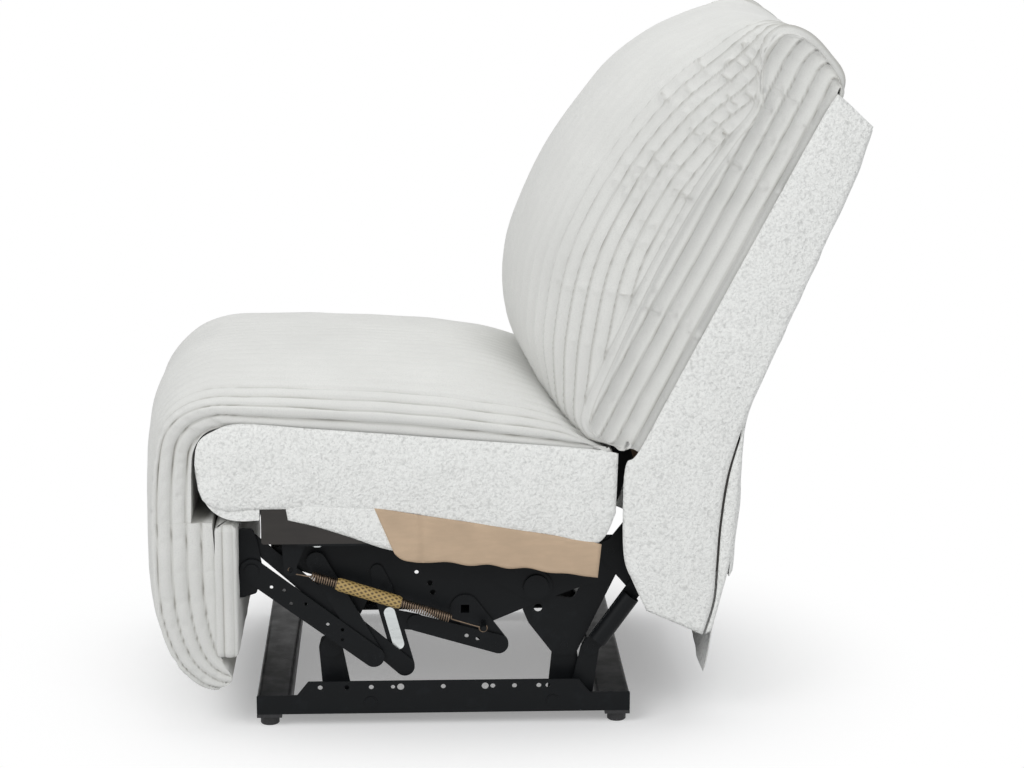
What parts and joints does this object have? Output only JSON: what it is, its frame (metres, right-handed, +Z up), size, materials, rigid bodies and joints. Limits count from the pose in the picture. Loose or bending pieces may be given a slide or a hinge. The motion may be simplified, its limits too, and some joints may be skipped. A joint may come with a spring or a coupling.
{
  "type": "armless recliner",
  "caption": "Armless reclining chair with an open steel linkage, a padded seat and back, and a footrest that folds out from the seat front.",
  "frame": {"origin": "middle of the chair's footprint, on the floor", "axes": "+Z up, front towards -Y, +X to the sitter's left"},
  "size_m": [0.61, 1.0264, 1.0032],
  "materials": {
    "plush_wale": "soft ribbed plush",
    "boucle": "looped textured cloth",
    "kraft": "stiff paper board",
    "plywood": "raw",
    "webbing": "woven elastic",
    "glide_plastic": "moulded",
    "zinc": "zinc plated",
    "woven_sleeve": "braided",
    "spring_steel": "oiled",
    "black_steel": "black powder coat"
  },
  "bodies": {
    "base": {"base_rail_left": "black_steel", "base_rail_right": "black_steel", "front_cross_member": "black_steel", "rear_cross_member": "black_steel", "front_posts": "black_steel", "rear_posts": "black_steel", "glides": "glide_plastic"},
    "rear_swing": {"rear_swing_links": "black_steel"},
    "front_swing": {"front_swing_links": "black_steel"},
    "control_link": {"control_tubes": "black_steel"},
    "seat": {"seat_plate_left": "black_steel", "seat_plate_right": "black_steel", "plate_braces": "black_steel", "seat_side_rail_left": "plywood", "seat_side_rail_right": "plywood", "seat_front_rail": "plywood", "seat_rear_rail": "plywood", "seat_webbing": "webbing", "seat_side_cover_left": "boucle", "seat_side_cover_right": "boucle", "dust_panel_left": "kraft", "dust_panel_right": "kraft", "seat_front_roll": "boucle", "seat_front_tube": "black_steel", "seat_bolts": "zinc", "seat_cushion": "plush_wale", "extension_springs": "spring_steel", "spring_sleeves": "woven_sleeve"},
    "back": {"back_side_panel_left": "plywood", "back_side_panel_right": "plywood", "back_stiles": "plywood", "back_top_rail": "plywood", "back_middle_rail": "plywood", "back_bottom_rail": "plywood", "back_bracket_left": "black_steel", "back_bracket_right": "black_steel", "back_webbing": "webbing", "back_side_cover_left": "boucle", "back_side_cover_right": "boucle", "rear_panel": "boucle", "back_top_cover": "boucle", "rear_flap": "boucle", "back_cushion": "plush_wale"},
    "front_links": {"front_footrest_links": "black_steel"},
    "upper_links": {"upper_footrest_links": "black_steel"},
    "lower_links": {"lower_footrest_links": "black_steel"},
    "rear_links": {"rear_footrest_links": "black_steel", "link_straps": "zinc"},
    "torque_tube": {"torque_tube": "black_steel", "hub_cranks": "black_steel"},
    "drive_links": {"drive_links": "black_steel"},
    "footrest": {"footrest_bracket_left": "black_steel", "footrest_bracket_right": "black_steel", "footrest_board": "plywood", "footrest_back_cover": "boucle", "footrest_pad": "plush_wale"},
    "knee": {"knee_pad": "plush_wale"}
  },
  "joints": [
    {"name": "recline", "type": "hinge", "parent": "base", "child": "rear_swing", "pos_m": [0, 0.091, 0.108], "axis": [1, 0, 0], "range_deg": [0, 54]},
    {"name": "seat_level", "type": "hinge", "parent": "rear_swing", "child": "seat", "pos_m": [0, 0.14911, 0.22205], "axis": [1, 0, 0], "range_deg": [-54.01, 0]},
    {"name": "front_swing_turn", "type": "hinge", "parent": "base", "child": "front_swing", "pos_m": [0, -0.244, 0.108], "axis": [1, 0, 0], "range_deg": [0, 54.01]},
    {"name": "back_tilt", "type": "hinge", "parent": "seat", "child": "back", "pos_m": [0, 0.156, 0.25], "axis": [-1, 0, 0], "range_deg": [0, 30.01], "deforming": ["rear_flap"]},
    {"name": "control_turn", "type": "hinge", "parent": "base", "child": "control_link", "pos_m": [0, 0.128, 0.108], "axis": [1, 0, 0], "range_deg": [0, 80.89]},
    {"name": "footrest", "type": "hinge", "parent": "seat", "child": "front_links", "pos_m": [0, -0.2633, 0.24], "axis": [-1, 0, 0], "range_deg": [0, 101.88]},
    {"name": "upper_link_turn", "type": "hinge", "parent": "front_links", "child": "upper_links", "pos_m": [0, -0.2097, 0.1374], "axis": [-1, 0, 0], "range_deg": [-120.74, 0]},
    {"name": "footrest_turn", "type": "hinge", "parent": "upper_links", "child": "footrest", "pos_m": [0, -0.3607, 0.2767], "axis": [-1, 0, 0], "range_deg": [0, 108.86]},
    {"name": "lower_link_turn", "type": "hinge", "parent": "front_links", "child": "lower_links", "pos_m": [0, -0.1828, 0.0993], "axis": [-1, 0, 0], "range_deg": [-112.6, 0]},
    {"name": "rear_link_turn", "type": "hinge", "parent": "seat", "child": "rear_links", "pos_m": [0, -0.1703, 0.199], "axis": [-1, 0, 0], "range_deg": [0, 95.92]},
    {"name": "torque_tube_turn", "type": "hinge", "parent": "seat", "child": "torque_tube", "pos_m": [0, -0.052, 0.166], "axis": [-1, 0, 0], "range_deg": [0, 95.92], "deforming": ["extension_springs"]},
    {"name": "drive_link_turn", "type": "hinge", "parent": "torque_tube", "child": "drive_links", "pos_m": [0, -0.004, 0.114], "axis": [-1, 0, 0], "range_deg": [-95.92, 0]},
    {"name": "knee_fold", "type": "hinge", "parent": "seat", "child": "knee", "pos_m": [0, -0.45417, 0.38517], "axis": [-1, 0, 0], "range_deg": [0, 90.01], "deforming": ["knee_pad"]}
  ],
  "couplings": [
    {"joint": "seat_level", "follows": "recline", "ratio": -1},
    {"joint": "front_swing_turn", "follows": "recline", "ratio": 1},
    {"joint": "back_tilt", "follows": "recline", "ratio": 0.55556},
    {"joint": "control_turn", "follows": "recline", "ratio": 1.4977},
    {"joint": "upper_link_turn", "follows": "footrest", "ratio": -1.185},
    {"joint": "footrest_turn", "follows": "footrest", "ratio": 1.0685},
    {"joint": "lower_link_turn", "follows": "footrest", "ratio": -1.1051},
    {"joint": "rear_link_turn", "follows": "footrest", "ratio": 0.94147},
    {"joint": "torque_tube_turn", "follows": "footrest", "ratio": 0.94147},
    {"joint": "drive_link_turn", "follows": "footrest", "ratio": -0.94147},
    {"joint": "knee_fold", "follows": "footrest", "ratio": 0.88342}
  ]
}
